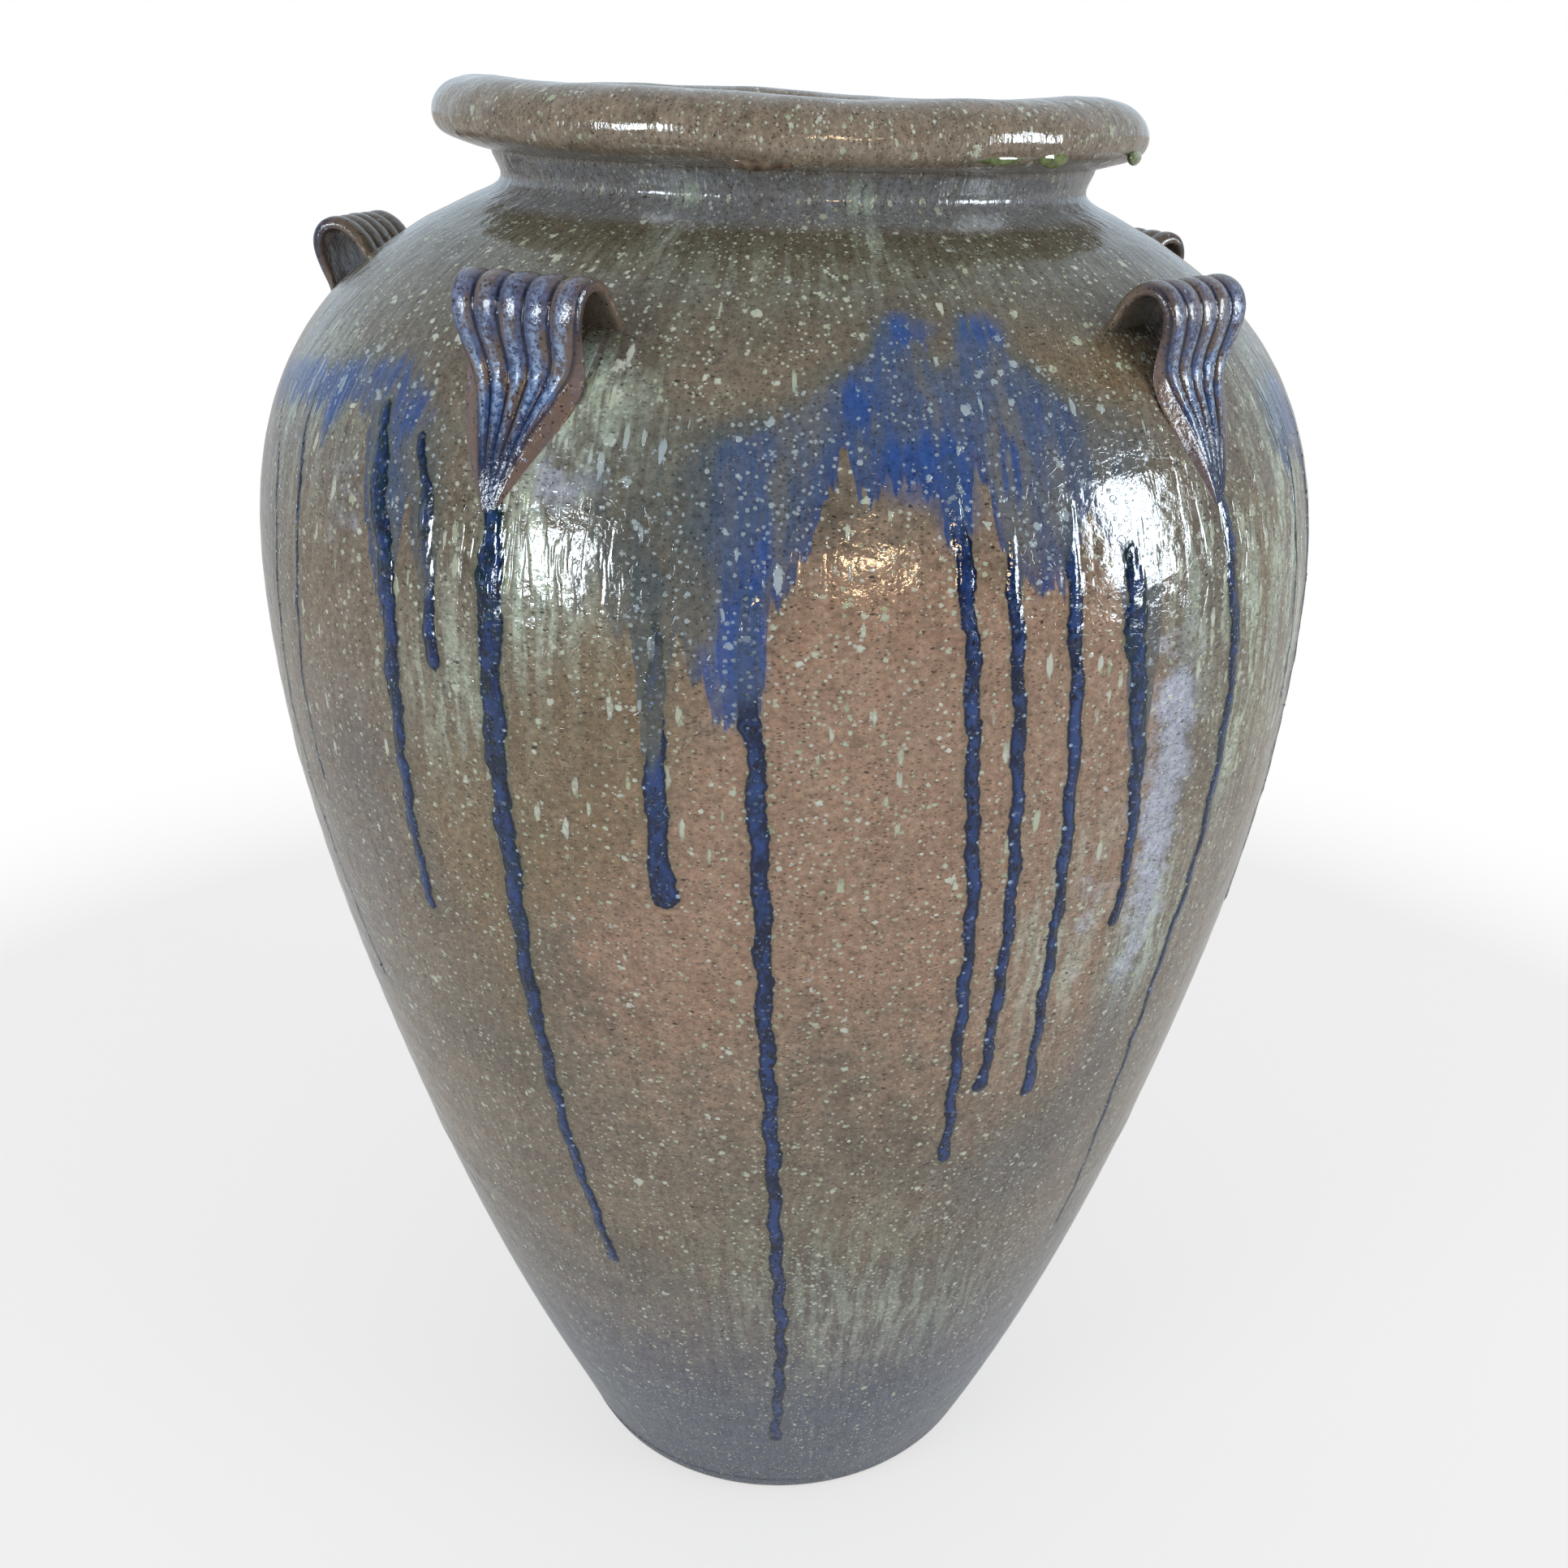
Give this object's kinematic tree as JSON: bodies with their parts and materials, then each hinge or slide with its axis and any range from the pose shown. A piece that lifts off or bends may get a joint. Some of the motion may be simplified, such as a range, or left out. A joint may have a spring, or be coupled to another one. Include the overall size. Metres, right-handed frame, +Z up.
{
  "type": "martaban storage jar",
  "caption": "Tall glazed stoneware storage jar with a narrow foot, wide shoulder, short neck, rolled lip and ribbed strap lugs with cord eyes round the shoulder.",
  "frame": {"origin": "centre of the foot's standing face", "axes": "+Z up along the jar's axis, -Y towards the front that the picture shows"},
  "size_m": [0.4802, 0.4802, 0.7],
  "materials": {
    "glazed_body": "glossy salt glaze over brown stoneware, with pale specks, blue runs and orange peel",
    "foot_clay": "thin grey salt glaze over brown stoneware, worn bare on the standing face",
    "lug_glaze": "glossy brown glaze with cobalt blue on the ribs"
  },
  "bodies": {
    "root": {"foot_slab": "foot_clay", "lower_wall": "glazed_body", "middle_wall": "glazed_body", "shoulder_wall": "glazed_body", "neck_collar": "glazed_body", "rim_roll": "glazed_body", "lug_front_left": "lug_glaze", "lug_front_right": "lug_glaze", "lug_right_back": "lug_glaze", "lug_back": "lug_glaze", "lug_left_back": "lug_glaze"}
  },
  "joints": []
}
